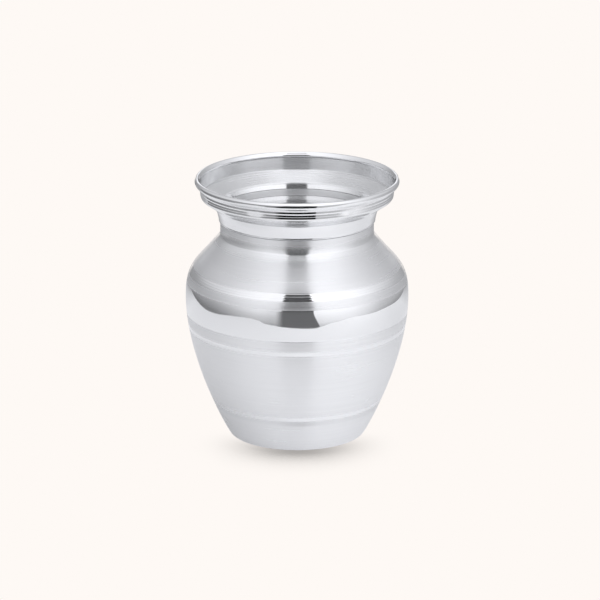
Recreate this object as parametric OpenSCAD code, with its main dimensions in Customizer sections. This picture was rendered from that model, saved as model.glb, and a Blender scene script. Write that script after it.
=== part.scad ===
// Lota: a small water pot of thin spun sheet metal, standing on its base with +Z up.
// Every piece is a turned ring round the Z axis, so each one is drawn as half a section and revolved.
// Sections are in [radius, height], in millimetres.

/* [Overall] */
// Height from the table to the top of the rolled rim
height = 76.2; // [70:0.1:90]
// Clear diameter of the mouth, inside the rolled rim
mouth_d = 56; // [53:0.1:60]
// Diameter of the belly at its widest
belly_d = 64.4; // [58:0.1:72]
// Outer diameter of the flat ring that the pot stands on
base_d = 38.1; // [30:0.1:44]

/* [Bowl] */
// Thickness of the sheet of the bowl and the shoulder
body_t = 0.5; // [0.35:0.05:0.7]
// Width of the flat standing ring
stand_w = 2; // [1:0.1:4]
// How far the middle of the base is raised off the table
base_rise = 1; // [0.4:0.1:2]
// Width of the curved step from the standing ring to the raised middle
rise_w = 3; // [2:0.1:5]
// Radius of the outer corner between the base and the wall
corner_r = 0.8; // [0.7:0.1:2]
// Lean of the wall where it leaves the base, in degrees from the vertical
foot_lean = 30.5; // [20:0.5:40]
// Length of the pull of the wall's curve at the base
foot_pull = 15.7; // [10:0.1:18]
// Length of the pull of the wall's curve at the belly
belly_pull = 7.8; // [5:0.1:14]
// Height of the straight belt at the belly, below the seam
belt_below = 2; // [1:0.1:4]

/* [Shoulder] */
// Height from the belly seam to the foot of the upright stub
shoulder_h = 19; // [17:0.1:24]
// Height of the straight belt at the belly, above the seam
belt_above = 3; // [1.6:0.1:4]
// Radius of the turn from the belly to the cone of the shoulder
turn_r = 11.2; // [8:0.1:12]
// Radius of the hollow between the cone and the stub
root_r = 0.9; // [0.4:0.1:1.5]
// Outer diameter of the upright stub
stub_d = 44.2; // [40:0.1:46]
// Height of the stub that shows below the collar
stub_h = 3.9; // [2.5:0.1:6]

/* [Collar] */
// Thickness of the sheet of the collar
collar_t = 0.4; // [0.3:0.05:0.5]
// Height from the lower edge of the collar to the top of the rim
collar_h = 12.3; // [11.6:0.1:14]
// Height of the straight sleeve that sits over the stub
sleeve_h = 1; // [0.8:0.1:1.6]
// Diameter of the neck at the bend below the mouth
bend_d = 46.6; // [46:0.1:49]
// Radius of that bend
bend_r = 0.8; // [0.4:0.1:1.5]
// Depth of the bend below the top of the rim
bend_drop = 8.4; // [7.5:0.1:9.5]
// Diameter of the edge where the cone of the mouth turns up into its wall
edge_d = 54.6; // [52:0.1:55.5]
// Radius of that edge
edge_r = 0.6; // [0.5:0.05:0.9]
// Depth of that edge below the top of the rim
edge_drop = 5.7; // [5.4:0.1:6.5]
// Diameter of the wire in the rolled rim
wire_d = 0.56; // [0.3:0.02:0.9]
// Angle at which the curl of the rim ends, from the outside of the pot over its top
curl_end = 250; // [225:1:255]

/* [Ribs of the mouth] */
// Number of ribs round the wall of the mouth
rib_count = 3; // [1:1:4]
// Radius of the section of a rib
rib_r = 0.26; // [0.15:0.01:0.35]
// How far a rib stands out of the wall
rib_proud = 0.16; // [0.05:0.01:0.2]
// Distance from one rib to the next
rib_pitch = 0.75; // [0.55:0.05:0.9]
// Height of the lowest rib above the edge of the mouth
rib_start = 1.1; // [0.9:0.1:1.4]

/* [Turned lines] */
// Height of the line near the base
foot_line_z = 11.3; // [9:0.1:16]
// Height of the line below the belly
low_line_z = 32.6; // [26:0.1:34]
// Width of each of these two lines
line_w = 1.1; // [0.8:0.1:1.6]
// Height of the band of lines above the belly seam
band_rise = 8.1; // [7:0.1:10]
// Number of lines in that band
band_lines = 3; // [2:1:4]
// Width of one line in that band
band_line_w = 0.62; // [0.5:0.02:0.9]
// Radius of the tool that cuts the grooves beside the lines
groove_r = 0.25; // [0.15:0.05:0.4]
// Depth of the grooves
groove_depth = 0.08; // [0.04:0.02:0.14]

/* [Joints] */
// Depth of the shoulder's skirt inside the bowl
lap_h = 2; // [1.5:0.1:3]
// Height over which the skirt is stepped in by the thickness of the sheet
step_h = 1; // [0.8:0.1:1.6]
// Gap between joined sheets, which solder or braze fills
joint_gap = 0.03; // [0.02:0.01:0.05]
// Gap between the wire and the curl
wire_gap = 0.02; // [0.01:0.01:0.04]
// Size of the solder fillet under the collar
fillet_w = 0.32; // [0.2:0.02:0.4]

/* [Hidden] */
$fn = 96;
curve_steps = 28;
arc_steps = 10;
curl_steps = 24;

base_r = base_d / 2;
belly_r = belly_d / 2;
mouth_r = mouth_d / 2;
stub_r = stub_d / 2;
bend_ring_r = bend_d / 2;
edge_ring_r = edge_d / 2;

bead_r = wire_d / 2 + wire_gap + collar_t;
bead_z = height - bead_r;
bend_z = height - bend_drop;
edge_z = height - edge_drop;
sleeve_r = stub_r + joint_gap + collar_t;
collar_z = height - collar_h;
stub_z = collar_z - stub_h;
seam_z = stub_z - shoulder_h;
belt_low_z = seam_z - belt_below;
turn_z = seam_z + belt_above;
skirt_r = belly_r - body_t - joint_gap;

// Unit vectors along an angle and along another vector, and a vector turned to its left
function along(angle) = [cos(angle), sin(angle)];
function direction(v) = v / norm(v);
function left_of(v) = [-v[1], v[0]];

// Cubic curve through its two end points, pulled towards the two inner ones
function curve_point(p, t) =
    pow(1 - t, 3) * p[0] + 3 * t * pow(1 - t, 2) * p[1] + 3 * t * t * (1 - t) * p[2] + pow(t, 3) * p[3];
function curve(p, steps) = [for (i = [0:steps]) curve_point(p, i / steps)];

// Arc about a centre, from one angle to another
function arc(centre, radius, from, to, steps) =
    [for (i = [0:steps]) centre + radius * along(from + (to - from) * i / steps)];

// Corner of a path, rounded with an arc that touches both legs
function rounded(before, corner, after, radius, steps) =
    let (
        a = direction(before - corner),
        b = direction(after - corner),
        half = acos(a * b) / 2,
        centre = corner + direction(a + b) * radius / sin(half),
        side = left_of(b) * a > 0 ? 1 : -1,
        first = centre - side * radius * left_of(-a),
        from = atan2(first[1] - centre[1], first[0] - centre[0]),
        turn = side * (180 - 2 * half)
    )
    arc(centre, radius, from, from + turn, steps);

// Path moved sideways to its left, with mitred corners, so that a sheet keeps its thickness
function segment_normal(path, i) = left_of(direction(path[i + 1] - path[i]));
function moved(path, distance) =
    let (last = len(path) - 1)
    [for (i = [0:last])
        let (
            before = segment_normal(path, max(i - 1, 0)),
            after = segment_normal(path, min(i, last - 1)),
            middle = direction(before + after)
        )
        path[i] + middle * distance / (middle * after)];
function reversed(path) = [for (i = [len(path) - 1:-1:0]) path[i]];
function sheet(path, thickness) = concat(path, reversed(moved(path, thickness)));

// Outside of the bowl, from the middle of the base to the seam
stand_in_r = base_r - stand_w;
foot_centre = [base_r, corner_r];
foot_end = foot_centre + corner_r * along(-foot_lean);
base_path = [for (i = [0:arc_steps])
    [stand_in_r - rise_w * (1 - i / arc_steps), base_rise * (1 + cos(180 * i / arc_steps)) / 2]];
foot_path = arc(foot_centre, corner_r, -90, -foot_lean, arc_steps);
wall_path = curve([
    foot_end,
    foot_end + foot_pull * along(90 - foot_lean),
    [belly_r, belt_low_z - belly_pull],
    [belly_r, belt_low_z]
], curve_steps);
bowl_path = concat(
    [[0, base_rise]],
    base_path,
    foot_path,
    [for (i = [1:curve_steps]) wall_path[i]],
    [[belly_r, seam_z]]
);

// Outside of the shoulder, from its skirt inside the bowl to the top of the stub.
// The cone touches the turn of the belly and the hollow at the stub.
turn_centre = [belly_r - turn_r, turn_z];
root_centre = [stub_r + root_r, stub_z];
centres = root_centre - turn_centre;
cone_angle = atan2(centres[1], centres[0]) - acos((turn_r + root_r) / norm(centres));
turn_path = arc(turn_centre, turn_r, 0, cone_angle, curve_steps);
root_path = arc(root_centre, root_r, 180 + cone_angle, 180, arc_steps);
step_top_z = seam_z + step_h;
shoulder_path = concat(
    [[skirt_r, seam_z - lap_h], [skirt_r, seam_z], [belly_r, step_top_z]],
    turn_path,
    root_path,
    [[stub_r, collar_z + sleeve_h]]
);
band_low_z = seam_z + band_rise - band_lines * band_line_w / 2;

// Outside of the collar, from its lower edge over the rolled rim to the end of the curl.
// The wall of the mouth touches the inside of the curl, which goes on from it round the wire.
bead_centre = [mouth_r + bead_r, bead_z];
curl_r = bead_r - collar_t;
wall_foot = [edge_ring_r, edge_z];
wall_to_bead = bead_centre - wall_foot;
wall_angle = atan2(wall_to_bead[1], wall_to_bead[0]) + asin(curl_r / norm(wall_to_bead));
wall_head = bead_centre + curl_r * along(wall_angle + 90);
bend_point = [bend_ring_r, bend_z];
sleeve_top = [sleeve_r, collar_z + sleeve_h];
collar_path = concat(
    [[sleeve_r, collar_z], sleeve_top],
    rounded(sleeve_top, bend_point, wall_foot, bend_r, arc_steps),
    rounded(bend_point, wall_foot, wall_head, edge_r, arc_steps),
    arc(bead_centre, curl_r, wall_angle + 90, curl_end - 360, curl_steps)
);

// Clear space of the mouth, which no rib reaches into
mouth_space = concat(
    moved([bend_point, wall_foot, wall_head], collar_t),
    [[0, wall_head[1]], [0, bend_z]]
);

// Radius of a path at a height, and a round groove cut square into the surface there
function path_radius(path, z) = lookup(z, [for (p = path) [p[1], p[0]]]);
module groove(path, z) {
    below = [path_radius(path, z - groove_r), z - groove_r];
    above = [path_radius(path, z + groove_r), z + groove_r];
    outward = -left_of(direction(above - below));
    translate([path_radius(path, z), z] + outward * (groove_r - groove_depth))
        circle(r = groove_r);
}

// A row of lines of one width, with a groove on each side of each of them
module grooves(path, low_z, lines, width) {
    for (i = [0:lines])
        groove(path, low_z + i * width);
}

module bowl() {
    color("gainsboro")
        rotate_extrude()
            difference() {
                polygon(sheet(bowl_path, body_t));
                grooves(wall_path, foot_line_z - line_w / 2, 1, line_w);
                grooves(wall_path, low_line_z - line_w / 2, 1, line_w);
            }
}

module shoulder() {
    color("silver")
        rotate_extrude()
            difference() {
                polygon(sheet(shoulder_path, body_t));
                grooves(turn_path, band_low_z, band_lines, band_line_w);
            }
}

module rib_section(rise) {
    wall = wall_head - wall_foot;
    inward = left_of(direction(wall));
    translate(wall_foot + wall * rise / wall[1] + inward * (rib_r - rib_proud))
        circle(r = rib_r);
}

module collar() {
    color("whitesmoke")
        rotate_extrude() {
            polygon(sheet(collar_path, collar_t));
            difference() {
                for (i = [0:rib_count - 1])
                    rib_section(rib_start + i * rib_pitch);
                polygon(mouth_space);
            }
        }
}

module rim_wire() {
    color("darkgray")
        rotate_extrude()
            translate(bead_centre)
                circle(d = wire_d);
}

// Filler in the step above the bowl's edge, ground flush with the belly
module belly_braze() {
    color("dimgray")
        rotate_extrude()
            polygon([
                [skirt_r + joint_gap, seam_z + joint_gap],
                [belly_r, seam_z + joint_gap],
                [belly_r, step_top_z - joint_gap]
            ]);
}

module neck_solder() {
    color("gray")
        rotate_extrude()
            translate([stub_r + joint_gap, collar_z - joint_gap])
                polygon([[0, 0], [0, -fillet_w], [fillet_w, 0]]);
}

bowl();
shoulder();
collar();
rim_wire();
belly_braze();
neck_solder();
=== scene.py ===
import math

import bmesh
import bpy
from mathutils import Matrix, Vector
from mathutils.geometry import interpolate_bezier


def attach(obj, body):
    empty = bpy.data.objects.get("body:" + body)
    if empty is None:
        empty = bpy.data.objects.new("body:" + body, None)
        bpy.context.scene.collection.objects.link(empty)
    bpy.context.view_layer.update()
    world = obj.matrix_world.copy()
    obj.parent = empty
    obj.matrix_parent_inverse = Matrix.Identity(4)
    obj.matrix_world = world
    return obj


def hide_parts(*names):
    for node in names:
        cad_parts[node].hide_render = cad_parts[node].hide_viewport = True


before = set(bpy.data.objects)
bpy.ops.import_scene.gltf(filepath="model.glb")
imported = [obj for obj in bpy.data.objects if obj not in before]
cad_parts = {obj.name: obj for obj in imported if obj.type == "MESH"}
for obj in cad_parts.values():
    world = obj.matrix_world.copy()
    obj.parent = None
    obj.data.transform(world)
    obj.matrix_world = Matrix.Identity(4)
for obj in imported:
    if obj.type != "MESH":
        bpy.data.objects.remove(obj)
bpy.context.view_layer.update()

scene = bpy.context.scene
scene.view_settings.view_transform = "Standard"
mm = 0.001
print("frame loaded:", sorted(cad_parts))


# Nodes and materials: small helpers

def addNode(tree, kind, settings=None, inputs=None):
    node = tree.nodes.new("ShaderNode" + kind)
    for key, value in (settings or {}).items():
        setattr(node, key, value)
    for key, value in (inputs or {}).items():
        if isinstance(value, bpy.types.NodeSocket):
            tree.links.new(value, node.inputs[key])
        else:
            node.inputs[key].default_value = value
    return node


def maths(tree, operation, first, second=0.0, third=0.0):
    return addNode(tree, "Math", {"operation": operation}, {0: first, 1: second, 2: third}).outputs[0]


def mapRange(tree, value, fromRange, toRange=(0.0, 1.0), smooth=False):
    kind = "SMOOTHSTEP" if smooth else "LINEAR"
    node = addNode(tree, "MapRange", {"interpolation_type": kind}, {
        "Value": value, "From Min": fromRange[0], "From Max": fromRange[1],
        "To Min": toRange[0], "To Max": toRange[1]})
    return node.outputs[0]


def mixValue(tree, factor, first, second):
    node = addNode(tree, "Mix", {"data_type": "FLOAT"}, {0: factor, 2: first, 3: second})
    return node.outputs[0]


def floatCurve(tree, value, points):  # points run from 0 to 1 both ways
    node = addNode(tree, "FloatCurve", None, {"Value": value})
    curve = node.mapping.curves[0]
    curve.points[0].location = points[0]
    curve.points[-1].location = points[-1]
    for point in points[1:-1]:
        curve.points.new(*point)
    node.mapping.update()
    return node.outputs[0]


def inMetres(*lengths):
    return tuple(length * mm for length in lengths)


def newMaterial(name):
    material = bpy.data.materials.new(name)
    material.use_nodes = True
    material.node_tree.nodes.clear()
    return material, material.node_tree


# The studio: what the polished metal sees. Angles are in degrees, 0 is the side of the camera
# and positive is to its right; levels are radiance, 1 is white.

studio = {
    "cream": (0.991, 0.947, 0.913),
    "cool": (0.986, 0.9925, 1.0255),  # colour of the light
    "brightest": 1.2,
    "low": [  # level with the horizon, from behind on the left round to behind on the right
        (-180, 0.34), (-150, 0.33), (-127, 0.33), (-112, 0.37), (-97, 0.41), (-82, 0.49),
        (-67, 0.61), (-52, 0.74), (-37, 0.81), (-22, 0.73), (0, 0.8), (22, 1.02), (37, 1.08),
        (52, 1.06), (67, 0.96), (82, 0.79), (97, 0.61), (112, 0.52), (127, 0.46), (142, 0.43),
        (157, 0.38), (180, 0.34)],
    "high": [  # from about 25 degrees up
        (-180, 0.44), (-157, 0.45), (-142, 0.52), (-127, 0.6), (-112, 0.66), (-97, 0.72),
        (-82, 0.82), (-67, 0.94), (-52, 1.03), (-37, 1.08), (-22, 1.06), (0, 1.1), (22, 1.19),
        (37, 1.19), (52, 1.18), (67, 1.12), (82, 1.0), (97, 0.84), (112, 0.72), (127, 0.62),
        (142, 0.52), (157, 0.46), (180, 0.44)],
    "lowToHigh": (2, 26),
    "floorLine": (-17, -2),       # the wall gets darker down towards the table
    "floorShade": (0.5, 0.78),    # on the left and on the right
    "floorTurn": (-50, 50),
    "zenith": 1.25,
    "zenithFrom": (62, 85),
    "gap": (-15.6, 16.8),         # the dark opening that the camera looks through
    "gapSoft": (1.6, 0.8),
    "gapLow": (8, -1),            # under this line its left side is wider and softer
    "gapLowWider": (2.6, 0),
    "gapLowSoft": (3.4, 0),
    "gapTop": (53.5, 61),
    "gapLevel": (0.0, 0.12),      # under and over the line of the sheet's edge
    "gapLevelTurn": (-19.4, -18.4),
    "gapHighLevel": ((-1, 7), 0.48),
    "gapFoot": 17,                # the opening widens down towards the table
    "gapFootWider": (0, 6.5),
    "gapLowest": (-18, -19.5),    # where it is widest, with softer sides
    "gapLowestWider": (6, -1),
    "gapLowestSoft": -0.5,
    "edgeRise": 0.045,            # the line rises with the azimuth, degree for degree
    "edgeShade": [((-18.5, -15), 0.78), ((-22, -18.5), 0.8)],
    "sideFloor": ((-18.5, -22), (50, 75), 1.0),  # and the rim sees it paler at the sides, far down
    "backdropFrom": (156, 168),   # azimuth either way from which the backdrop is mirrored
    "backdropBand": (-12, -9, -5, 2),  # and between which elevations
    "crown": (7, 11, 24, 32),     # a paler band behind, which only the top of the rim mirrors
    "crownFrom": (148, 160),
    "crownLevel": 1.0,
}


def buildStudio():
    world = bpy.data.worlds.new("studio")
    world.use_nodes = True
    scene.world = world
    tree = world.node_tree
    tree.nodes.clear()
    direction = addNode(tree, "TexCoord").outputs["Generated"]
    axes = addNode(tree, "SeparateXYZ", None, {0: direction}).outputs
    towards = maths(tree, "MULTIPLY", axes["Y"], -1.0)
    azimuth = maths(tree, "DEGREES", maths(tree, "ARCTAN2", axes["X"], towards))
    elevation = maths(tree, "DEGREES", maths(tree, "ARCSINE", axes["Z"]))
    turn = mapRange(tree, azimuth, (-180.0, 180.0))

    def ring(levels):
        points = [(angle / 360 + 0.5, level / studio["brightest"]) for angle, level in levels]
        return maths(tree, "MULTIPLY", floatCurve(tree, turn, points), studio["brightest"])

    def band(limits):  # 1 between the inner two elevations, down to 0 at the outer two
        low, lowFull, highFull, high = limits
        rising = mapRange(tree, elevation, (low, lowFull), smooth=True)
        return maths(tree, "MULTIPLY", rising, mapRange(tree, elevation, (high, highFull), smooth=True))

    raised = mapRange(tree, elevation, studio["lowToHigh"], smooth=True)
    wall = mixValue(tree, raised, ring(studio["low"]), ring(studio["high"]))
    foot = mapRange(tree, azimuth, studio["floorTurn"], studio["floorShade"])
    shade = mixValue(tree, mapRange(tree, elevation, studio["floorLine"]), foot, 1.0)
    wall = maths(tree, "MULTIPLY", wall, shade)
    aside = maths(tree, "ABSOLUTE", azimuth)
    lowered = maths(tree, "MULTIPLY_ADD", aside, -studio["edgeRise"], elevation)
    for span, least in studio["edgeShade"]:
        wall = maths(tree, "MULTIPLY", wall, mapRange(tree, lowered, span, (least, 1.0)))
    span, sideways, gain = studio["sideFloor"]
    far = maths(tree, "MULTIPLY", mapRange(tree, lowered, span), mapRange(tree, aside, sideways))
    wall = maths(tree, "MULTIPLY", wall, maths(tree, "MULTIPLY_ADD", far, gain, 1.0))
    overhead = mapRange(tree, elevation, studio["zenithFrom"], smooth=True)
    wall = mixValue(tree, overhead, wall, studio["zenith"])
    crown = mapRange(tree, aside, studio["crownFrom"], smooth=True)
    crown = maths(tree, "MULTIPLY", band(studio["crown"]), crown)
    wall = mixValue(tree, crown, wall, studio["crownLevel"])

    deep = mapRange(tree, elevation, (0.0, -studio["gapFoot"]))
    deep = maths(tree, "MULTIPLY", deep, deep)
    lowest = mapRange(tree, elevation, studio["gapLowest"])
    under = mapRange(tree, elevation, studio["gapLow"], smooth=True)
    sides = []
    for i, side in enumerate((1, -1)):
        inside = maths(tree, "MULTIPLY_ADD", azimuth, side, -side * studio["gap"][i])
        inside = maths(tree, "MULTIPLY_ADD", deep, studio["gapFootWider"][i], inside)
        inside = maths(tree, "MULTIPLY_ADD", under, studio["gapLowWider"][i], inside)
        inside = maths(tree, "MULTIPLY_ADD", lowest, studio["gapLowestWider"][i], inside)
        soft = maths(tree, "MULTIPLY_ADD", under, studio["gapLowSoft"][i], studio["gapSoft"][i])
        soft = maths(tree, "MULTIPLY_ADD", lowest, studio["gapLowestSoft"], soft)
        inside = maths(tree, "DIVIDE", inside, soft)
        sides.append(mapRange(tree, inside, (-1.0, 1.0), smooth=True))
    below = mapRange(tree, elevation, studio["gapTop"], (1.0, 0.0), smooth=True)
    gap = maths(tree, "MULTIPLY", maths(tree, "MULTIPLY", *sides), below)
    dark = mapRange(tree, elevation, studio["gapLevelTurn"], studio["gapLevel"])
    span, least = studio["gapHighLevel"]
    dark = maths(tree, "MULTIPLY", dark, mapRange(tree, elevation, span, (1.0, least)))
    level = mixValue(tree, gap, wall, dark)

    metalSees = addNode(tree, "Background", None, {"Color": (*studio["cool"], 1.0), "Strength": level})
    backdrop = addNode(tree, "Background", None, {"Color": (*studio["cream"], 1.0)})
    path = addNode(tree, "LightPath").outputs
    behind = mapRange(tree, aside, studio["backdropFrom"], smooth=True)
    behind = maths(tree, "MULTIPLY", behind, band(studio["backdropBand"]))
    mirrored = maths(tree, "MAXIMUM", path["Is Glossy Ray"], path["Is Transmission Ray"])
    factor = maths(tree, "MAXIMUM", path["Is Camera Ray"], maths(tree, "MULTIPLY", mirrored, behind))
    mix = addNode(tree, "MixShader", None, {0: factor, 1: metalSees.outputs[0], 2: backdrop.outputs[0]})
    addNode(tree, "OutputWorld", None, {"Surface": mix.outputs[0]})


# The table: a sheet of white paper lies under the pot, and the metal mirrors its edges. The shade on the
# paper and its glow are painted.

table = {
    "sheet": [(-196, 250), (-175, 30), (-188, -85), (-178, -133), (-156, -160), (-120, -167),
              (-93, -154), (-60, -159), (0, -156), (47, -147), (95, -156), (154, -140), (184, -119),
              (199, -54), (206, 0), (204, 35), (170, 118), (150, 250)],  # corners, in mm
    "sheetHeight": -0.02,
    "across": (-190, 210),
    "paperAndSideShade": (0.8, 0.9),              # how pale the paper is at its left and right edge, darker on the left as painted side shade
    "paintedGlow": (0.1, 0.32),             # and a painted glow from the paper, stronger on the right
    "behind": (-95, 40, 0.8),         # painted shade: darker towards the back on the right
    "behindAcross": (0, 100),
    "farBehind": (100, 185, 0.5),     # and painted shade further back on both sides
    "nearReach": (110, 55),           # painted shade close to the pot, darker on the left and at the back
    "nearShade": (-0.14, 0.07),
    "footReach": (50, 26),            # and more painted shade at the pot's foot
    "footShade": (-0.2, -0.02),
    "facing": (-1.41, 1.41),          # (x - y) / radius, from back left to front right
    "topHeight": -0.5,
    "reach": 1600,
    "shadowReach": (0.52, 12),        # mm, growing with the distance in front of the pot
    "shadow": (0.8, 0.35, 1.8, 0.58), # where it starts, its span, falloff and strength
    "shadowTurn": 2.3,                # the painted shadow fades round the sides, as if the light came from behind
    "shadowSamples": 16,
}


def flatPiece(name, corners, height, material):
    bm = bmesh.new()
    bm.faces.new([bm.verts.new(inMetres(x, y, height)) for x, y in corners])
    bmesh.ops.triangulate(bm, faces=bm.faces)
    bmesh.ops.recalc_face_normals(bm, faces=bm.faces)
    if bm.faces[:][0].normal.z < 0:
        bmesh.ops.reverse_faces(bm, faces=bm.faces)
    mesh = bpy.data.meshes.new(name)
    bm.to_mesh(mesh)
    bm.free()
    mesh.materials.append(material)
    piece = bpy.data.objects.new(name, mesh)
    scene.collection.objects.link(piece)


def creamGlow(tree, strength):
    return addNode(tree, "Emission", None, {"Color": (*studio["cream"], 1.0), "Strength": strength})


def sheetShade(tree, place):  # painted shade in the sheet's colour and glow, by place, 1 is full light
    axes = addNode(tree, "SeparateXYZ", None, {0: place}).outputs
    near, far, least = table["behind"]
    darker = mapRange(tree, axes["Y"], inMetres(near, far), (0.0, 1.0 - least))
    onRight = mapRange(tree, axes["X"], inMetres(*table["behindAcross"]))
    level = maths(tree, "SUBTRACT", 1.0, maths(tree, "MULTIPLY", darker, onRight))
    near, far, least = table["farBehind"]
    level = maths(tree, "MULTIPLY", level, mapRange(tree, axes["Y"], inMetres(near, far), (1.0, least)))
    fromAxis = addNode(tree, "VectorMath", {"operation": "LENGTH"}, {0: place}).outputs["Value"]
    facing = maths(tree, "DIVIDE", maths(tree, "SUBTRACT", axes["X"], axes["Y"]), fromAxis)
    for reach, shades in (("nearReach", "nearShade"), ("footReach", "footShade")):
        close = mapRange(tree, fromAxis, inMetres(*table[reach]), smooth=True)
        shade = mapRange(tree, facing, table["facing"], table[shades])
        level = maths(tree, "MULTIPLY", level, maths(tree, "MULTIPLY_ADD", close, shade, 1.0))
    return level


def contactShadow(tree, place):  # painted shadow: what is left of the cream glow where the pot's occlusion shades the table, 1 is all
    axes = addNode(tree, "SeparateXYZ", None, {0: place}).outputs
    grow, least = table["shadowReach"]
    reach = maths(tree, "MULTIPLY_ADD", maths(tree, "MINIMUM", axes["Y"], 0.0), -grow, least * mm)
    openness = addNode(tree, "AmbientOcclusion", {"samples": table["shadowSamples"]}, {
        "Distance": reach}).outputs["AO"]
    start, span, falloff, strength = table["shadow"]
    dark = maths(tree, "POWER", mapRange(tree, openness, (start, start - span)), falloff)
    fromAxis = addNode(tree, "VectorMath", {"operation": "LENGTH"}, {0: place}).outputs["Value"]
    inFront = maths(tree, "DIVIDE", axes["Y"], maths(tree, "MULTIPLY", fromAxis, -1.0))
    inFront = maths(tree, "MAXIMUM", inFront, 0.0)
    dark = maths(tree, "MULTIPLY", dark, maths(tree, "POWER", inFront, table["shadowTurn"]))
    return maths(tree, "MULTIPLY_ADD", dark, -strength, 1.0)


def buildSheet():
    material, tree = newMaterial("whiteSheet")
    path = addNode(tree, "LightPath").outputs
    geometry = addNode(tree, "NewGeometry").outputs
    place = addNode(tree, "TexCoord").outputs["Object"]
    across = addNode(tree, "SeparateXYZ", None, {0: place}).outputs["X"]
    level = sheetShade(tree, place)
    ends = inMetres(*table["across"])
    # painted side shade in the paper's colour, and a painted glow, both darkened by the painted shade of
    # sheetShade
    paperAndSideShade = maths(tree, "MULTIPLY", level, mapRange(tree, across, ends, table["paperAndSideShade"]))
    paintedGlow = maths(tree, "MULTIPLY", level, mapRange(tree, across, ends, table["paintedGlow"]))
    mirrored = addNode(tree, "AddShader", None, {
        0: addNode(tree, "BsdfDiffuse", None, {"Color": paperAndSideShade}).outputs[0],
        1: addNode(tree, "Emission", None, {"Color": (*studio["cool"], 1.0), "Strength": paintedGlow}).outputs[0]})
    # the camera sees the cream glow with the painted shadow in it
    seen = creamGlow(tree, contactShadow(tree, place))
    mix = addNode(tree, "MixShader", None, {
        0: path["Is Camera Ray"], 1: mirrored.outputs[0], 2: seen.outputs[0]})
    clear = addNode(tree, "BsdfTransparent")
    oneSided = addNode(tree, "MixShader", None, {
        0: geometry["Backfacing"], 1: mix.outputs[0], 2: clear.outputs[0]})
    addNode(tree, "OutputMaterial", None, {"Surface": oneSided.outputs[0]})
    flatPiece("sheet", table["sheet"], table["sheetHeight"], material)


def buildTableTop():  # only the camera sees it, and only from above
    material, tree = newMaterial("tableTop")
    path = addNode(tree, "LightPath").outputs
    geometry = addNode(tree, "NewGeometry").outputs
    fromAbove = maths(tree, "SUBTRACT", 1.0, geometry["Backfacing"])
    shown = maths(tree, "MULTIPLY", path["Is Camera Ray"], fromAbove)
    clear = addNode(tree, "BsdfTransparent")
    seen = creamGlow(tree, 1.0)
    mix = addNode(tree, "MixShader", None, {0: shown, 1: clear.outputs[0], 2: seen.outputs[0]})
    addNode(tree, "OutputMaterial", None, {"Surface": mix.outputs[0]})
    reach = table["reach"]
    corners = [(-reach, -reach), (reach, -reach), (reach, reach), (-reach, reach)]
    flatPiece("tableTop", corners, table["topHeight"], material)


# The camera of the photograph: square frame, long lens, a little above the pot.

camera = {
    "elevation": 16.92,
    "distance": 1100,
    "aim": (0.84, 39.31),  # the point looked at, across and up
    "lens": 228.07,
    "sensor": 36,
    "clip": (0.05, 10),    # in metres
}


def buildCamera():
    data = bpy.data.cameras.new("camera")
    data.lens = camera["lens"]
    data.sensor_width = camera["sensor"]
    data.clip_start, data.clip_end = camera["clip"]
    eye = bpy.data.objects.new("camera", data)
    scene.collection.objects.link(eye)
    tilt = math.radians(camera["elevation"])
    aim = Vector((camera["aim"][0], 0, camera["aim"][1])) * mm
    back = Vector((0, -math.cos(tilt), math.sin(tilt)))
    eye.location = aim + back * camera["distance"] * mm
    eye.rotation_euler = back.to_track_quat("Z", "Y").to_euler()
    scene.camera = eye


buildStudio()
buildSheet()
buildTableTop()
buildCamera()
print("studio, table and camera ready")


# Sections are drawn in mm as (radius, 0, height) and spun round the axis of the pot.

def at(radius, height):
    return Vector((radius, 0, height))


def unit(angle):  # direction at an angle in degrees from outwards to upwards
    return at(math.cos(math.radians(angle)), math.sin(math.radians(angle)))


def arc(centre, radius, start, end, steps):
    return [centre + unit(start + (end - start) * i / steps) * radius for i in range(steps + 1)]


def bezier(start, pull, push, end, steps):
    return interpolate_bezier(start, pull, push, end, steps + 1)


def corner(before, point, after, radius, steps):  # a corner of a path, turned on a radius
    a = (before - point).normalized()
    b = (after - point).normalized()
    half = a.angle(b) / 2
    centre = point + (a + b).normalized() * (radius / math.sin(half))
    first = centre + (point + a * (radius / math.tan(half)) - centre)
    last = centre + (point + b * (radius / math.tan(half)) - centre)
    start = math.degrees(math.atan2(first.z - centre.z, first.x - centre.x))
    sweep = math.degrees(math.atan2(last.z - centre.z, last.x - centre.x)) - start
    sweep = (sweep + 180) % 360 - 180
    return arc(centre, radius, start, start + sweep, steps)


def leftOf(v):
    return at(-v.z, v.x)


def offset(path, distance):  # the path moved to its left, with mitred corners
    moved = []
    for i, point in enumerate(path):
        before = path[max(i - 1, 0)]
        after = path[min(i + 1, len(path) - 1)]
        a = leftOf((point - before).normalized()) if i else leftOf((after - point).normalized())
        b = leftOf((after - point).normalized()) if i < len(path) - 1 else a
        middle = (a + b).normalized()
        moved.append(point + middle * (distance / middle.dot(b)))
    return moved


def joined(*paths):  # paths end to end, without the points that they share
    whole = []
    for path in paths:
        for point in path:
            if not whole or (point - whole[-1]).length > 1e-4:
                whole.append(point)
    return whole


def cutBetween(path, low, high):  # the stretch of a rising path between two heights
    kept = []
    for a, b in zip(path, path[1:]):
        for height in (low, high):
            if a.z < height < b.z:
                kept.append(a.lerp(b, (height - a.z) / (b.z - a.z)))
        if low <= b.z <= high:
            kept.append(b)
    return kept


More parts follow.
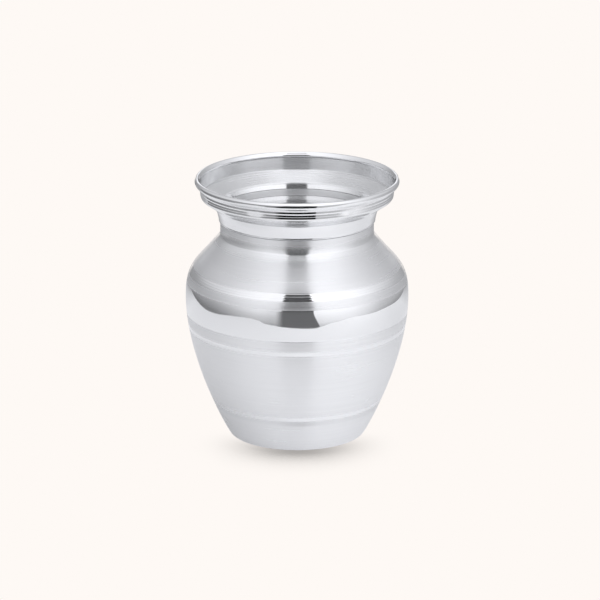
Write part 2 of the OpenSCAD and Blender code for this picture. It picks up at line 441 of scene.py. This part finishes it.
def turned(path, cuts):
    # Few points, but all of them near a turned cut, which sinks the path by its depth.
    # A cut is (height, half width, depth).
    result = []
    for i, point in enumerate(path):
        before = path[max(i - 1, 0)]
        after = path[min(i + 1, len(path) - 1)]
        inward = leftOf((after - before).normalized())
        sunk = 0
        near = False
        for height, half, depth in cuts:
            share = abs(point.z - height) / half
            near = near or share < 1.3  # a little past the cut's own edge
            if share < 1:
                sunk += depth * (0.5 + 0.5 * math.cos(math.pi * share))
        if near or i % spin["coarse"] == 0 or i in (1, len(path) - 2, len(path) - 1):
            result.append(point + inward * sunk)
    return result


spin = {
    "steps": 128,
    "sharpAngle": 24,
    "coarse": 8,         # how many points of a path make one in its plain stretches
    "samePoint": 0.0002, # mm, closer points are one
    "merge": 0.0005,
    "onAxis": 0.01,
}


wave = {"shrink": 0.0004, "size": 0.0002, "lean": 0.12}  # shares of the radius


def waver(turn, height):  # hand spinning leaves the round a little uneven
    slow = math.sin(2 * turn + 0.6) + 0.6 * math.sin(3 * turn + wave["lean"] * height)
    return -wave["shrink"] + wave["size"] * slow


def spinPiece(name, runs):
    # runs is the closed section of the piece: (points, material slot) end to end
    bm = bmesh.new()
    along = bm.verts.layers.float.new("along")
    verts = []
    ends = []
    length = 0
    for points, slot in runs:
        for point in points:
            if verts and (point * mm - verts[-1].co).length < spin["samePoint"] * mm:
                continue
            length += (point - verts[-1].co / mm).length if verts else 0
            verts.append(bm.verts.new(point * mm))
            verts[-1][along] = length
        ends.append((length, slot))
    edges = [bm.edges.new(pair) for pair in zip(verts, verts[1:])]
    bmesh.ops.spin(bm, geom=verts + edges, cent=(0, 0, 0), axis=(0, 0, 1), dvec=(0, 0, 0),
                   angle=math.tau, steps=spin["steps"], use_merge=True,
                   use_normal_flip=False, use_duplicate=False)
    addSpinMap(bm, along, ends)
    bmesh.ops.remove_doubles(bm, verts=bm.verts, dist=spin["merge"] * mm)
    bmesh.ops.recalc_face_normals(bm, faces=bm.faces)
    for vert in bm.verts:
        swell = 1 + waver(math.atan2(vert.co.y, vert.co.x), vert.co.z / mm)
        vert.co.x *= swell
        vert.co.y *= swell
    mesh = bpy.data.meshes.new(name)
    bm.to_mesh(mesh)
    bm.free()
    mesh.set_sharp_from_angle(angle=math.radians(spin["sharpAngle"]))
    piece = bpy.data.objects.new(name, mesh)
    scene.collection.objects.link(piece)
    return piece


def addSpinMap(bm, along, ends):
    # UV map: across is the turn round the axis, up is the length along the section in mm
    layer = bm.loops.layers.uv.new("spin")
    for face in bm.faces:
        middle = face.calc_center_median()
        turn = math.atan2(middle.y, middle.x)
        for loop in face.loops:
            place = loop.vert.co
            angle = math.atan2(place.y, place.x) if place.xy.length > spin["onAxis"] * mm else turn
            angle = turn + (angle - turn + math.pi) % math.tau - math.pi
            loop[layer].uv = (angle / math.tau, loop.vert[along])
        reach = sum(vert[along] for vert in face.verts) / len(face.verts)
        face.material_index = next(slot for end, slot in ends if reach < end)
        face.smooth = True


def finishPiece(piece, materials, node):
    for material in materials:
        piece.data.materials.append(material)
    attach(piece, "root")
    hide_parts(node)
    print("made", piece.name, len(piece.data.polygons), "faces")


# Spun steel: fine scratches run round the axis, and broader marks of the turning tool with them.

noiseSpan = (0.3, 0.7)      # noise keeps within this nearly everywhere
noiseMiddle = (0.35, 0.65)


def spunSteel(name, finish):
    material, tree = newMaterial(name)
    place = addNode(tree, "TexCoord").outputs["Object"]
    axes = addNode(tree, "SeparateXYZ", None, {0: place}).outputs
    spun = addNode(tree, "UVMap", {"uv_map": "spin"}).outputs[0]
    along = addNode(tree, "SeparateXYZ", None, {0: spun}).outputs["Y"]

    def ringNoise(perMm, aroundPerMm, detail):
        x = maths(tree, "MULTIPLY", axes["X"], aroundPerMm / mm)
        y = maths(tree, "MULTIPLY", axes["Y"], aroundPerMm / mm)
        v = maths(tree, "MULTIPLY", along, perMm)
        vector = addNode(tree, "CombineXYZ", None, {0: x, 1: y, 2: v}).outputs[0]
        noise = addNode(tree, "TexNoise", None, {"Vector": vector, "Scale": 1.0, "Detail": detail})
        return noise.outputs["Fac"]

    scratches = ringNoise(*finish["scratches"], 3.0)
    marks = ringNoise(*finish["marks"], 1.0)
    patches = mapRange(tree, ringNoise(*finish["patches"], 1.0), noiseMiddle, (finish["patchLeast"], 1.0))
    cloud = addNode(tree, "TexNoise", None, {
        "Vector": place, "Scale": finish["cloudScale"], "Detail": 3.0}).outputs["Fac"]

    heights = [height for height, rough in finish["zones"]]
    low, high = heights[0], heights[-1]
    height = mapRange(tree, axes["Z"], (low * mm, high * mm))
    ramp = addNode(tree, "ValToRGB", None, {"Fac": height})
    stops = ramp.color_ramp.elements
    while len(stops) < len(finish["zones"]):
        stops.new(0.5)
    for stop, (height, rough) in zip(stops, finish["zones"]):
        stop.position = (height - low) / (high - low)
        stop.color = (rough, rough, rough, 1)
    rough = ramp.outputs["Color"]
    brushed = mapRange(tree, rough, finish["polishedToBrushed"])
    unevenness = mapRange(tree, scratches, noiseSpan, (1 - finish["uneven"], 1 + finish["uneven"]))
    clouded = mapRange(tree, cloud, noiseSpan, (1 - finish["cloudy"], 1 + finish["cloudy"]))
    rough = maths(tree, "MULTIPLY", maths(tree, "MULTIPLY", rough, unevenness), clouded)

    dim = mapRange(tree, scratches, noiseMiddle, (1 - finish["streakShade"], 1.0))
    shade = mixValue(tree, maths(tree, "MULTIPLY", brushed, patches), 1.0, dim)
    colour = addNode(tree, "VectorMath", {"operation": "SCALE"}, {
        0: finish["tint"], "Scale": shade}).outputs[0]

    fine = maths(tree, "MULTIPLY", maths(tree, "MULTIPLY", scratches, patches), finish["scratchDepth"])
    broad = maths(tree, "MULTIPLY", marks, finish["markDepth"])
    relief = maths(tree, "MULTIPLY", maths(tree, "ADD", fine, broad), brushed)
    normal = addNode(tree, "Bump", None, {"Height": relief, "Strength": 1.0, "Distance": mm}).outputs[0]
    tangent = addNode(tree, "Tangent", {"direction_type": "UV_MAP", "uv_map": "spin"}).outputs[0]

    main = addNode(tree, "BsdfPrincipled", None, {
        "Base Color": colour, "Metallic": 1.0, "Roughness": rough, "Normal": normal,
        "Anisotropic": finish["anisotropy"], "Anisotropic Rotation": finish["grainTurn"],
        "Tangent": tangent})
    haze = addNode(tree, "BsdfPrincipled", None, {
        "Base Color": colour, "Metallic": 1.0, "Roughness": finish["hazeRoughness"]})
    share = mixValue(tree, brushed, finish["haze"][0], finish["haze"][1])
    steel = addNode(tree, "MixShader", None, {0: share, 1: main.outputs[0], 2: haze.outputs[0]})
    addNode(tree, "OutputMaterial", None, {"Surface": steel.outputs[0]})
    return material


steel = {
    "tint": (0.926, 0.929, 0.937),
    "anisotropy": 0.95,
    "grainTurn": 0.25,
    "scratches": (2.2, 0.012),      # grains to the mm across the scratches, and along them
    "marks": (0.5, 0.01),
    "patches": (0.1, 0.05),         # where the scratches show more and less
    "patchLeast": 0.25,
    "uneven": 0.12,
    "cloudScale": 60.0,
    "cloudy": 0.06,
    "streakShade": 0.035,
    "scratchDepth": 0.009,          # mm
    "markDepth": 0.008,
    "polishedToBrushed": (0.1, 0.28),
    "haze": (0.05, 0.12),           # light that the finest scratches scatter widely, polished and brushed
    "hazeRoughness": 0.6,
}
brushedRoughness = 0.31
polishedRoughness = 0.07
mirrorRoughness = 0.03
blend = 0.12  # mm to either side over which one finish turns into the next


# Body: one outside shape for the bowl, the seam and the shoulder, so that reflections run on.

body = {
    "baseRadius": 19.05,
    "standWidth": 2.0,
    "riseWidth": 3.0,
    "rise": 1.0,
    "cornerRadius": 0.8,
    "footLean": 34.0,
    "footPull": 3.6,
    "bellyRadius": 32.2,
    "bellyHeight": 41.0,
    "bellyPullDown": 17.2,
    "turnPulls": (5.96, 5.0),
    "coneLow": (27.77, 52.89),
    "coneAngle": 43.6,
    "conePulls": (2.56, 0.71),
    "rootAngle": 31,
    "stubRadius": 22.1,
    "rootRadius": 0.9,
    "rootHeight": 59.81,
    "stubTop": 64.9,
    "sheet": 0.5,
    "step": 0.05,         # mm between the points of the wall
    "riseSteps": 16,
    "arcSteps": 10,
    "stubSteps": 12,
}


def bodyPath():
    b = body
    inner = b["baseRadius"] - b["standWidth"] - b["riseWidth"]
    shares = [i / b["riseSteps"] for i in range(b["riseSteps"] + 1)]
    rise = [at(inner + b["riseWidth"] * share, b["rise"] * (1 + math.cos(math.pi * share)) / 2)
            for share in shares]
    footCentre = at(b["baseRadius"], b["cornerRadius"])
    foot = arc(footCentre, b["cornerRadius"], -90, -b["footLean"], b["arcSteps"])
    belly = at(b["bellyRadius"], b["bellyHeight"])
    steps = round(b["bellyHeight"] / b["step"])
    wall = bezier(foot[-1], foot[-1] + unit(90 - b["footLean"]) * b["footPull"],
                  belly - at(0, b["bellyPullDown"]), belly, steps)
    coneLow = at(*b["coneLow"])
    up = unit(90 + b["coneAngle"])
    lowPull, highPull = b["turnPulls"]
    turn = bezier(belly, belly + at(0, lowPull), coneLow - up * highPull, coneLow,
                  round((coneLow.z - belly.z) / b["step"]))
    rootCentre = at(b["stubRadius"] + b["rootRadius"], b["rootHeight"])
    root = arc(rootCentre, b["rootRadius"], 180 + b["rootAngle"], 180, b["arcSteps"])
    lowPull, highPull = b["conePulls"]
    cone = bezier(coneLow, coneLow + up * lowPull, root[0] - unit(90 + b["rootAngle"]) * highPull, root[0],
                  round((root[0] - coneLow).length / b["step"]))
    stubTop = at(b["stubRadius"], b["stubTop"])
    stub = [root[-1].lerp(stubTop, i / b["stubSteps"]) for i in range(b["stubSteps"] + 1)]
    return joined([at(0, b["rise"])], rise, foot), joined(wall, turn, cone, root, stub)


underside, outside = bodyPath()


# Bowl: base, wall and lower half of the mirror belt

bowl = {
    "seam": 41.0,
    "footLine": (11.15, 1.1),      # height and width of the polished lines
    "lowLine": (32.65, 1.2),
    "mirrorFrom": 36.55,
    "grooveHalf": 0.14,
    "grooveDepth": 0.022,
    "footBand": (8.85, 10.45),     # a rougher band under the first line
    "footRough": 0.47,
    "insideRough": 0.34,
    "insideCoarse": 16,
}


def lineEnds(line):
    height, width = line
    return height - width / 2, height + width / 2


def lineCuts(line):  # a groove along each side of a polished line
    return [(height, bowl["grooveHalf"], bowl["grooveDepth"]) for height in lineEnds(line)]


def zone(ends, before, rough, after):  # a band of another finish between two heights
    low, high = ends
    return [(low - blend, before), (low + blend, rough), (high - blend, rough), (high + blend, after)]


def buildBowl():
    b = bowl
    cuts = lineCuts(b["footLine"]) + lineCuts(b["lowLine"])
    cuts += [(b["mirrorFrom"], b["grooveHalf"], b["grooveDepth"])]
    wall = cutBetween(outside, 0, b["seam"])
    outer = joined(underside, turned(wall, cuts))
    inner = offset(joined(underside, wall[::b["insideCoarse"]], [wall[-1]]), body["sheet"])
    inner[0].x = 0
    inner[-1].z = b["seam"]
    inner.reverse()
    edge = [outer[-1], inner[0]]
    brushed = brushedRoughness
    zones = [(0, brushed)] + zone(b["footBand"], brushed, b["footRough"], brushed)[:3]  # up to the line
    zones += zone(lineEnds(b["footLine"]), brushed, polishedRoughness, brushed)
    zones += zone(lineEnds(b["lowLine"]), brushed, polishedRoughness, brushed)
    zones += [(b["mirrorFrom"] - blend, brushed), (b["mirrorFrom"] + blend, mirrorRoughness),
              (b["seam"], mirrorRoughness)]
    insideZones = [(0, b["insideRough"]), (b["seam"], b["insideRough"])]
    outsideSteel = spunSteel("bowlOutside", {**steel, "zones": zones})
    insideSteel = spunSteel("bowlInside", {**steel, "zones": insideZones})
    piece = spinPiece("bowlSpun", [(outer, 0), (edge, 0), (inner, 1)])
    finishPiece(piece, [outsideSteel, insideSteel], "bowl")


buildBowl()


# Shoulder: upper half of the belt, the polished band, the cone and the stub in the neck

shoulder = {
    "from": 42.0,
    "mirrorTo": 45.75,
    "band": (48.15, 50.15),
    "bandLines": 3,
    "bandGroove": 0.02,
    "bandRough": 0.05,
    "skirt": 39.0,
    "skirtGap": 0.03,              # between the skirt and the bowl
    "skirtTop": 41.05,
    "insideTurn": (0.25, 41.6),    # how far the inside is out from the skirt, and where
    "insideFrom": 42.6,
    "insideTo": 61.5,
    "insideCoarse": 12,
    "ledge": [(21.1, 62.75), (21.35, 63.6), (22.0, 64.58), (22.03, 64.85)],  # inside the stub
    "ledgeRound": 0.12,
    "rootZones": [(57.05, brushedRoughness), (58.15, 0.22), (58.45, 0.19), (61.5, 0.2),
                  (61.8, brushedRoughness)],
    "insideZones": [(39.0, 0.32), (61.6, 0.32), (62.4, 0.18), (63.5, 0.18), (63.65, 0.24),
                    (64.4, 0.24), (64.9, 0.34)],
    # steel tint of the inside, darkened as painted shade
    "insideTintAndShade": (0.81, 0.813, 0.82),
}


def buildShoulder():
    s = shoulder
    low, high = s["band"]
    pitch = (high - low) / s["bandLines"]
    cuts = [(low + pitch * i, bowl["grooveHalf"], s["bandGroove"]) for i in range(s["bandLines"] + 1)]
    cuts += [(s["mirrorTo"], bowl["grooveHalf"], bowl["grooveDepth"])]
    wall = cutBetween(outside, s["from"], body["stubTop"])
    skirtRadius = body["bellyRadius"] - body["sheet"] - s["skirtGap"]
    skirt = [at(skirtRadius, height) for height in (s["skirt"], bowl["seam"], s["skirtTop"])]
    outer = joined(skirt, turned(wall, cuts))
    outwards, height = s["insideTurn"]
    upper = cutBetween(wall, s["insideFrom"], body["stubTop"])[::s["insideCoarse"]]
    inner = offset(joined(skirt[:2], [at(skirtRadius + outwards, height)], upper, [wall[-1]]), body["sheet"])
    inner[0].z = s["skirt"]
    inner = [point for point in inner if point.z < s["insideTo"]]
    foot, ledgeIn, ledgeOut, edge = [at(*point) for point in s["ledge"]]
    inner = joined(inner, [foot], corner(foot, ledgeIn, ledgeOut, s["ledgeRound"], 4),
                   corner(ledgeIn, ledgeOut, edge, s["ledgeRound"], 4), [edge, outer[-1]])
    inner.reverse()
    lowEdge = [inner[-1], outer[0]]
    brushed = brushedRoughness
    zones = [(s["skirt"], mirrorRoughness), (s["mirrorTo"] - blend, mirrorRoughness),
             (s["mirrorTo"] + blend, brushed)]
    zones += zone(s["band"], brushed, s["bandRough"], brushed)
    zones += s["rootZones"] + [(body["stubTop"], brushed)]
    outsideSteel = spunSteel("shoulderOutside", {**steel, "zones": zones})
    insideSteel = spunSteel("shoulderInside", {
        **steel, "tint": s["insideTintAndShade"], "zones": s["insideZones"]})
    piece = spinPiece("shoulderSpun", [(outer, 0), (inner, 1), (lowEdge, 1)])
    finishPiece(piece, [outsideSteel, insideSteel], "shoulder")


buildShoulder()


# Braze in the belly seam, ground flush and polished with the belt

def buildBraze():
    outer = cutBetween(outside, bowl["seam"], shoulder["from"])
    foot = at(body["bellyRadius"] - body["sheet"], bowl["seam"])
    piece = spinPiece("brazeRing", [(outer, 0), ([outer[-1], foot, outer[0]], 0)])
    zones = [(bowl["seam"], mirrorRoughness), (shoulder["from"], mirrorRoughness)]
    finishPiece(piece, [spunSteel("brazePolished", {**steel, "zones": zones})], "belly_braze")


buildBraze()


# Collar: sleeve on the stub, neck, cone of the mouth, ribbed wall and rolled rim

collar = {
    "sheet": 0.4,
    "sleeveRadius": 22.53,
    "low": 63.66,
    "sleeveTop": 64.2,
    "sleeveRound": 2.0,
    "lowRound": 0.15,
    "neck": (22.98, 66.2),
    "neckRound": 3.0,
    "bend": (23.72, 67.93),
    "bendRound": 0.8,
    "edge": (27.42, 70.5),
    "steps": [(27.66, 70.8), (27.76, 71.2), (27.775, 71.76), (27.83, 71.87), (27.845, 72.44),
              (28.04, 72.83), (28.055, 73.4)],
    "stepRound": 0.05,
    "rim": [  # its curves: the pull at the start and at the end, the end, and the steps
        ((0.5, 0.42), (-0.04, -0.55), (29.36, 74.93), 16),
        ((0, 0), (0, 0), (29.378, 75.47), 1),            # the flat outside
        ((0, 0.1), (0.08, -0.09), (29.29, 75.66), 6),
        ((-0.15, 0.17), (0.33, 0), (28.62, 76.18), 12),  # up to the top
        ((-0.2, 0), (0.32, 0.36), (27.9, 75.4), 12),     # and down the bevel
        ((-0.08, -0.09), (0, 0.28), (27.8, 74.8), 8),
        ((0, -0.15), (-0.07, 0.05), (27.98, 74.5), 4)],
    "wallSteps": 8,
    "insideFoot": (27.6, 71.05),
    "insideEdge": (27.15, 70.72),
    "insideRound": 0.25,
    "groove": 66.5,  # height of the turned groove inside the neck, and its points
    "grooveShape": [(-0.03, -0.14), (0.09, -0.08), (0.09, 0.02), (0, 0.1)],
    "outsideZones": [(63.66, 0.1), (67.93, 0.08), (68.33, 0.06), (70.5, 0.05), (71.0, 0.04), (76.3, 0.04)],
    "outsideHaze": (0.015, 0.03),
    "insideZones": [(63.66, 0.32), (66.4, 0.32), (66.5, 0.12), (67.63, 0.12), (67.93, 0.25), (70.8, 0.25)],
    "insideHaze": (0.12, 0.42),
    # steel tint of the inside, slightly darkened as painted shade
    "insideTintAndShade": (0.905, 0.908, 0.915),
    "flareZones": [(70.5, 0.22), (76.3, 0.2)],
    "flareHaze": (0.04, 0.08),
    # steel tint of the flared wall, darkened as painted shade
    "flareTintAndShade": (0.83, 0.833, 0.84),
    "flareScratches": 0.004,
}


def collarRim(start):
    rim = [start]
    for pull, push, end, steps in collar["rim"]:
        start, end = rim[-1], at(*end)
        rim = joined(rim, bezier(start, start + at(*pull), end + at(*push), end, steps))
    return rim


def collarInside(neck):  # from the mouth down to the lower edge, with the turned groove
    inner = offset(neck[:-1], collar["sheet"])
    inner[0].z = collar["low"]
    inner.pop()
    above = next(i for i, point in enumerate(inner) if point.z > collar["groove"])
    a, b = inner[above - 1], inner[above]
    groove = a.lerp(b, (collar["groove"] - a.z) / (b.z - a.z))
    inner[above:above] = [groove + at(*place) for place in collar["grooveShape"]]
    inner.reverse()
    return inner


def buildCollar():
    c = collar
    size = c["lowRound"]
    low = at(c["sleeveRadius"], c["low"] + size)
    lowEdge = arc(low - at(size, 0), size, -90, 0, 5)
    sleeveTop = at(c["sleeveRadius"], c["sleeveTop"])
    middle, bend, edge = at(*c["neck"]), at(*c["bend"]), at(*c["edge"])
    neck = joined([low], corner(low, sleeveTop, middle, c["sleeveRound"], 6),
                  corner(sleeveTop, middle, bend, c["neckRound"], 6),
                  corner(middle, bend, edge, c["bendRound"], 12), [bend.lerp(edge, 0.6), edge])
    stepped = [edge] + [at(*point) for point in c["steps"]]
    ribs = joined(*[corner(a, b, d, c["stepRound"], 4) for a, b, d in zip(stepped, stepped[1:], stepped[2:])],
                  [stepped[-1]])
    rim = collarRim(ribs[-1])
    lip, insideFoot, insideEdge = rim[-1], at(*c["insideFoot"]), at(*c["insideEdge"])
    wall = joined([lip.lerp(insideFoot, i / c["wallSteps"]) for i in range(c["wallSteps"])],
                  corner(lip, insideFoot, insideEdge, c["insideRound"], 6), [insideEdge])
    inner = collarInside(neck)
    runs = [(joined(lowEdge, neck, ribs), 0), (rim, 0), (wall, 2), (joined([insideEdge], inner), 1),
            ([inner[-1], lowEdge[0]], 0)]
    outsideSteel = spunSteel("collarOutside", {
        **steel, "zones": c["outsideZones"], "haze": c["outsideHaze"]})
    insideSteel = spunSteel("collarInside", {
        **steel, "zones": c["insideZones"], "haze": c["insideHaze"], "tint": c["insideTintAndShade"]})
    flareSteel = spunSteel("collarFlare", {
        **steel, "zones": c["flareZones"], "haze": c["flareHaze"], "tint": c["flareTintAndShade"],
        "scratchDepth": c["flareScratches"]})
    piece = spinPiece("collarSpun", runs)
    finishPiece(piece, [outsideSteel, insideSteel, flareSteel], "collar")


buildCollar()


# Solder under the collar's lower edge. Its dark grey is partly the solder's dull colour and partly painted
# shade in the crease under the collar.

solder = {
    "size": 0.24,
    "gap": 0.03,
    "zones": [(63, 0.4), (64, 0.4)],
    "tint": (0.42, 0.425, 0.44),
    "anisotropy": 0.2,
    "cloudy": 0.3,
    "cloudScale": 900.0,
}


def buildSolder():
    top = at(body["stubRadius"] + solder["gap"], collar["low"] - solder["gap"])
    size = solder["size"]
    hollow = arc(top + at(size, -size), size, 180, 90, 6)
    piece = spinPiece("solderRing", [(hollow, 0), ([hollow[-1], top, hollow[0]], 0)])
    grey = {key: solder[key] for key in ("zones", "tint", "anisotropy", "cloudy", "cloudScale")}
    finishPiece(piece, [spunSteel("solderGrey", {**steel, **grey})], "neck_solder")


buildSolder()


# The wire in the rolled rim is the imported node, drawn wire in a plain finish

wire = {
    "grain": 700.0,
    "roughness": (0.3, 0.45),
    "shade": (0.5, 0.62),
    "bump": 0.3,
    "bumpDepth": 0.02,
}


def dressWire():
    material, tree = newMaterial("wireSteel")
    place = addNode(tree, "TexCoord").outputs["Object"]
    noise = addNode(tree, "TexNoise", None, {
        "Vector": place, "Scale": wire["grain"], "Detail": 3.0}).outputs["Fac"]
    rough = mapRange(tree, noise, noiseSpan, wire["roughness"])
    shade = mapRange(tree, noise, noiseSpan, wire["shade"])
    bump = addNode(tree, "Bump", None, {
        "Height": noise, "Strength": wire["bump"], "Distance": wire["bumpDepth"] * mm}).outputs[0]
    metal = addNode(tree, "BsdfPrincipled", None, {
        "Base Color": shade, "Metallic": 1.0, "Roughness": rough, "Normal": bump})
    addNode(tree, "OutputMaterial", None, {"Surface": metal.outputs[0]})
    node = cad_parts["rim_wire"]
    node.data.materials.clear()
    node.data.materials.append(material)
    print("dressed the wire")


dressWire()
